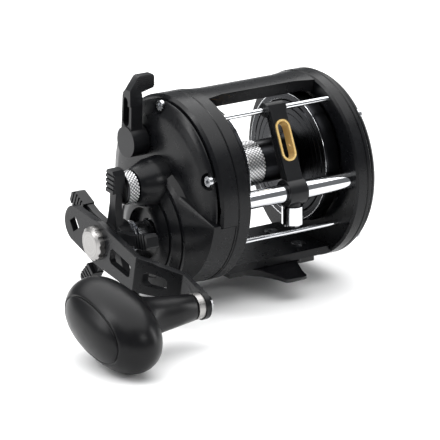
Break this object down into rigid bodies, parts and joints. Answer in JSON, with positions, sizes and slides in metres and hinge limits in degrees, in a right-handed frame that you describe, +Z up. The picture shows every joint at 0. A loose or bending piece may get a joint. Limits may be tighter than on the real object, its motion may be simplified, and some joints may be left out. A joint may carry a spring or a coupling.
{
  "type": "trolling reel",
  "caption": "Conventional level-wind trolling reel with star drag, side clutch lever and an oval power knob on a cranked arm.",
  "frame": {"origin": "centre of the foot's seating face", "axes": "+X along the spool axis from the handle side to the tail side, -Y the way the line leaves, +Z up from the foot"},
  "size_m": [0.1396, 0.1074, 0.0828],
  "materials": {
    "graphite_black": "satin black filled nylon with a fine grain",
    "glossy_black": "smooth glossy black",
    "lever_black": "satin moulded black",
    "arm_black": "black anodised strip, satin",
    "soft_black": "smooth soft-touch black",
    "spool_black": "black anodised, turned rings",
    "knurled_aluminium": "bright knurled",
    "chrome": "polished",
    "brushed_nut": "brushed",
    "steel": "plain machined",
    "bronze": "machined",
    "gold": "polished gold-coloured ring",
    "acetal_black": "moulded gear plastic",
    "acetal_white": "moulded gear plastic",
    "fibre": "woven friction disc"
  },
  "bodies": {
    "reel": {"frame": "graphite_black", "handle_side_plate": "graphite_black", "tail_side_plate": "graphite_black", "reel_foot": "glossy_black", "foot_screws": "steel", "handle_plate_screws": "steel", "tail_plate_screws": "steel", "guide_rod": "chrome", "worm_tube": "chrome", "bottom_rod": "chrome", "bridge_plate": "steel", "bridge_screws": "steel", "gear_post": "steel", "idler_stud": "steel", "dog_stud": "steel", "yoke_posts": "steel", "yoke_springs": "steel", "left_bearing": "steel", "right_bearing": "steel", "worm_bushings": "bronze", "tension_shims": "bronze", "dog_spring": "steel"},
    "crank": {"gear_sleeve": "steel", "anti_reverse_ratchet": "steel", "main_gear": "bronze", "drag_washers_steel": "steel", "drag_washers_fibre": "fibre", "spacer_sleeve": "steel", "spring_washers": "steel", "handle_arm": "arm_black", "handle_nut": "brushed_nut", "knob_spindle": "chrome", "knob_washer": "brushed_nut"},
    "star": {"star_wheel": "lever_black"},
    "grip": {"knob": "soft_black", "knob_inset": "soft_black"},
    "spool": {"spool": "spool_black", "arbor_sleeve": "knurled_aluminium", "spool_shaft": "steel", "spool_gear": "acetal_black", "click_gear": "acetal_white"},
    "idler": {"idler_gear": "acetal_black"},
    "worm": {"worm_shaft": "steel", "worm_gear": "acetal_black"},
    "carriage": {"line_guide": "lever_black", "guide_insert": "gold", "pawl": "bronze", "pawl_cap": "chrome"},
    "lever": {"clutch_lever": "lever_black", "clutch_cam": "steel"},
    "yoke": {"clutch_yoke": "bronze"},
    "pinion": {"pinion_gear": "bronze"},
    "cast_control": {"cast_control_cap": "knurled_aluminium"},
    "clicker": {"click_button": "lever_black", "click_tongue": "steel"},
    "dog": {"anti_reverse_dog": "steel"}
  },
  "joints": [
    {"name": "crank_turn", "type": "hinge", "parent": "reel", "child": "crank", "pos_m": [-0.05, 0.0013, 0.01814], "axis": [1, 0, 0], "continuous": true},
    {"name": "star_turn", "type": "hinge", "parent": "crank", "child": "star", "pos_m": [-0.058, 0.0013, 0.01814], "axis": [1, 0, 0], "range_deg": [-180, 180]},
    {"name": "knob_turn", "type": "hinge", "parent": "crank", "child": "grip", "pos_m": [-0.09, -0.04929, 0.00702], "axis": [1, 0, 0], "continuous": true},
    {"name": "spool_turn", "type": "hinge", "parent": "reel", "child": "spool", "pos_m": [0, 0, 0.037], "axis": [1, 0, 0], "continuous": true},
    {"name": "idler_turn", "type": "hinge", "parent": "reel", "child": "idler", "pos_m": [-0.028, -0.01419, 0.03214], "axis": [1, 0, 0], "continuous": true},
    {"name": "worm_turn", "type": "hinge", "parent": "reel", "child": "worm", "pos_m": [0, -0.0291, 0.0338], "axis": [1, 0, 0], "continuous": true},
    {"name": "guide_travel", "type": "slide", "parent": "reel", "child": "carriage", "axis": [1, 0, 0], "range_m": [-0.0103, 0.014]},
    {"name": "clutch_swing", "type": "hinge", "parent": "reel", "child": "lever", "pos_m": [-0.04, 0.0111, 0.0501], "axis": [1, 0, 0], "range_deg": [-40, 0]},
    {"name": "yoke_slide", "type": "slide", "parent": "reel", "child": "yoke", "axis": [1, 0, 0], "range_m": [0, 0.00209]},
    {"name": "pinion_turn", "type": "hinge", "parent": "yoke", "child": "pinion", "pos_m": [-0.04, 0, 0.037], "axis": [1, 0, 0], "continuous": true},
    {"name": "cast_control_turn", "type": "hinge", "parent": "reel", "child": "cast_control", "pos_m": [-0.055, 0, 0.037], "axis": [1, 0, 0], "range_deg": [-360, 360]},
    {"name": "click_slide", "type": "slide", "parent": "reel", "child": "clicker", "axis": [0, -0.766, -0.6428], "range_m": [0, 0.003]},
    {"name": "dog_swing", "type": "hinge", "parent": "reel", "child": "dog", "pos_m": [-0.037, 0.0143, 0.01314], "axis": [1, 0, 0], "range_deg": [-4, 6]}
  ],
  "couplings": [
    {"joint": "spool_turn", "follows": "crank_turn", "ratio": -4.7273},
    {"joint": "pinion_turn", "follows": "crank_turn", "ratio": -4.7273},
    {"joint": "idler_turn", "follows": "crank_turn", "ratio": 1.8384},
    {"joint": "worm_turn", "follows": "crank_turn", "ratio": -4.7273},
    {"joint": "clutch_swing", "follows": "yoke_slide", "rad_per_m": -333.3}
  ]
}
